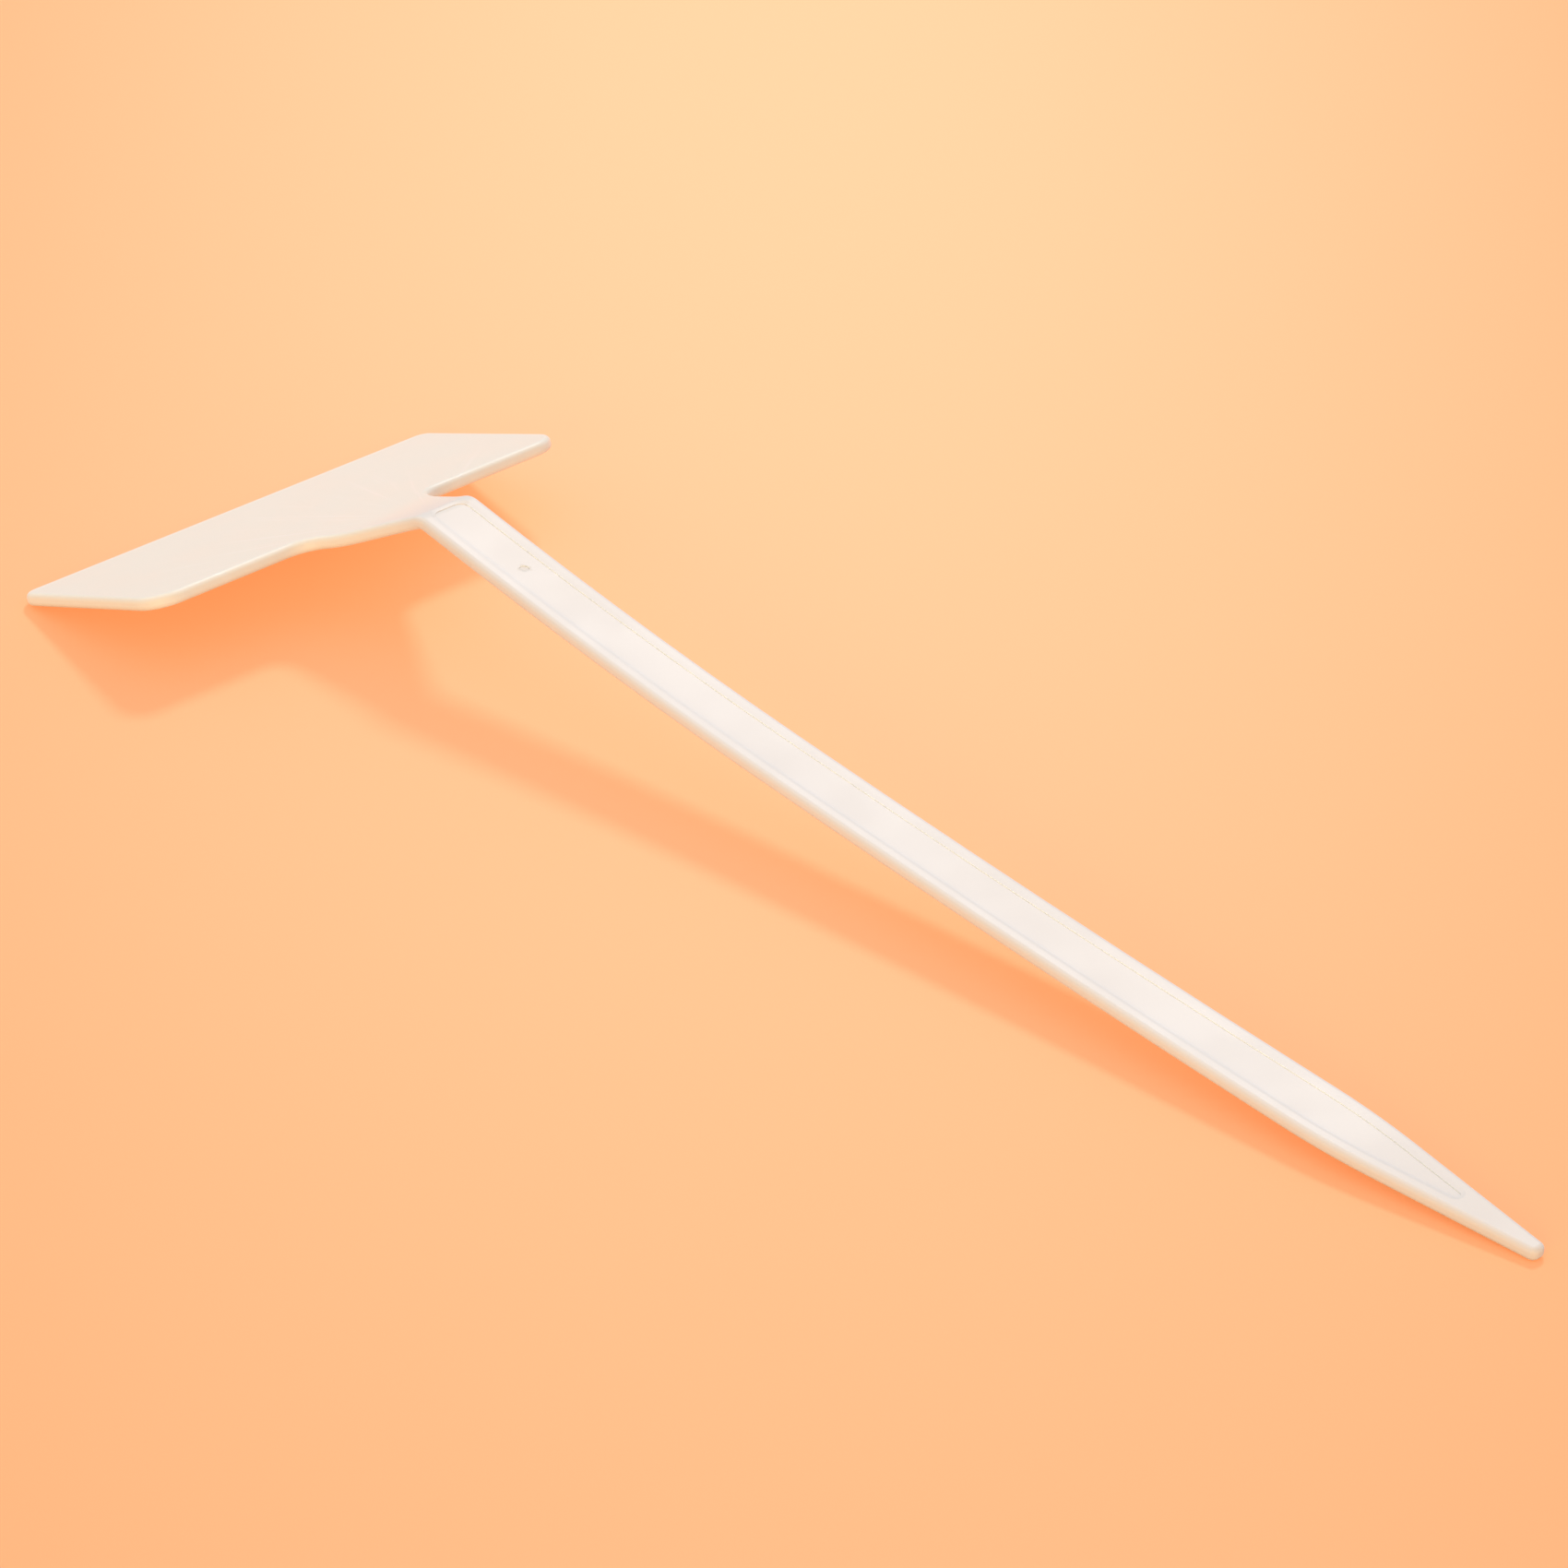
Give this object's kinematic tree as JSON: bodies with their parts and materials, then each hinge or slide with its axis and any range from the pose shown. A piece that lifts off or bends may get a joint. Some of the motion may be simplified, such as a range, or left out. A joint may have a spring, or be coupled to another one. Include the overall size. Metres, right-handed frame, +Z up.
{
  "type": "plant label stake",
  "caption": "Wide T-shaped plant label: a writing plate set at an angle on a long, thin, channelled blade that narrows to a point for pushing into soil.",
  "frame": {"origin": "below the middle of the label's bounding box, on the surface that it lies on", "axes": "+X along the label from the writing plate to the point, +Y across it, +Z up from the surface that it lies on; the label lies on the plate's far edge and its point, writing face up"},
  "size_m": [0.2578, 0.075, 0.0225],
  "materials": {
    "off_white_plastic": "satin"
  },
  "bodies": {
    "root": {"label_plate": "off_white_plastic", "neck": "off_white_plastic", "blade": "off_white_plastic", "point": "off_white_plastic"}
  },
  "joints": []
}
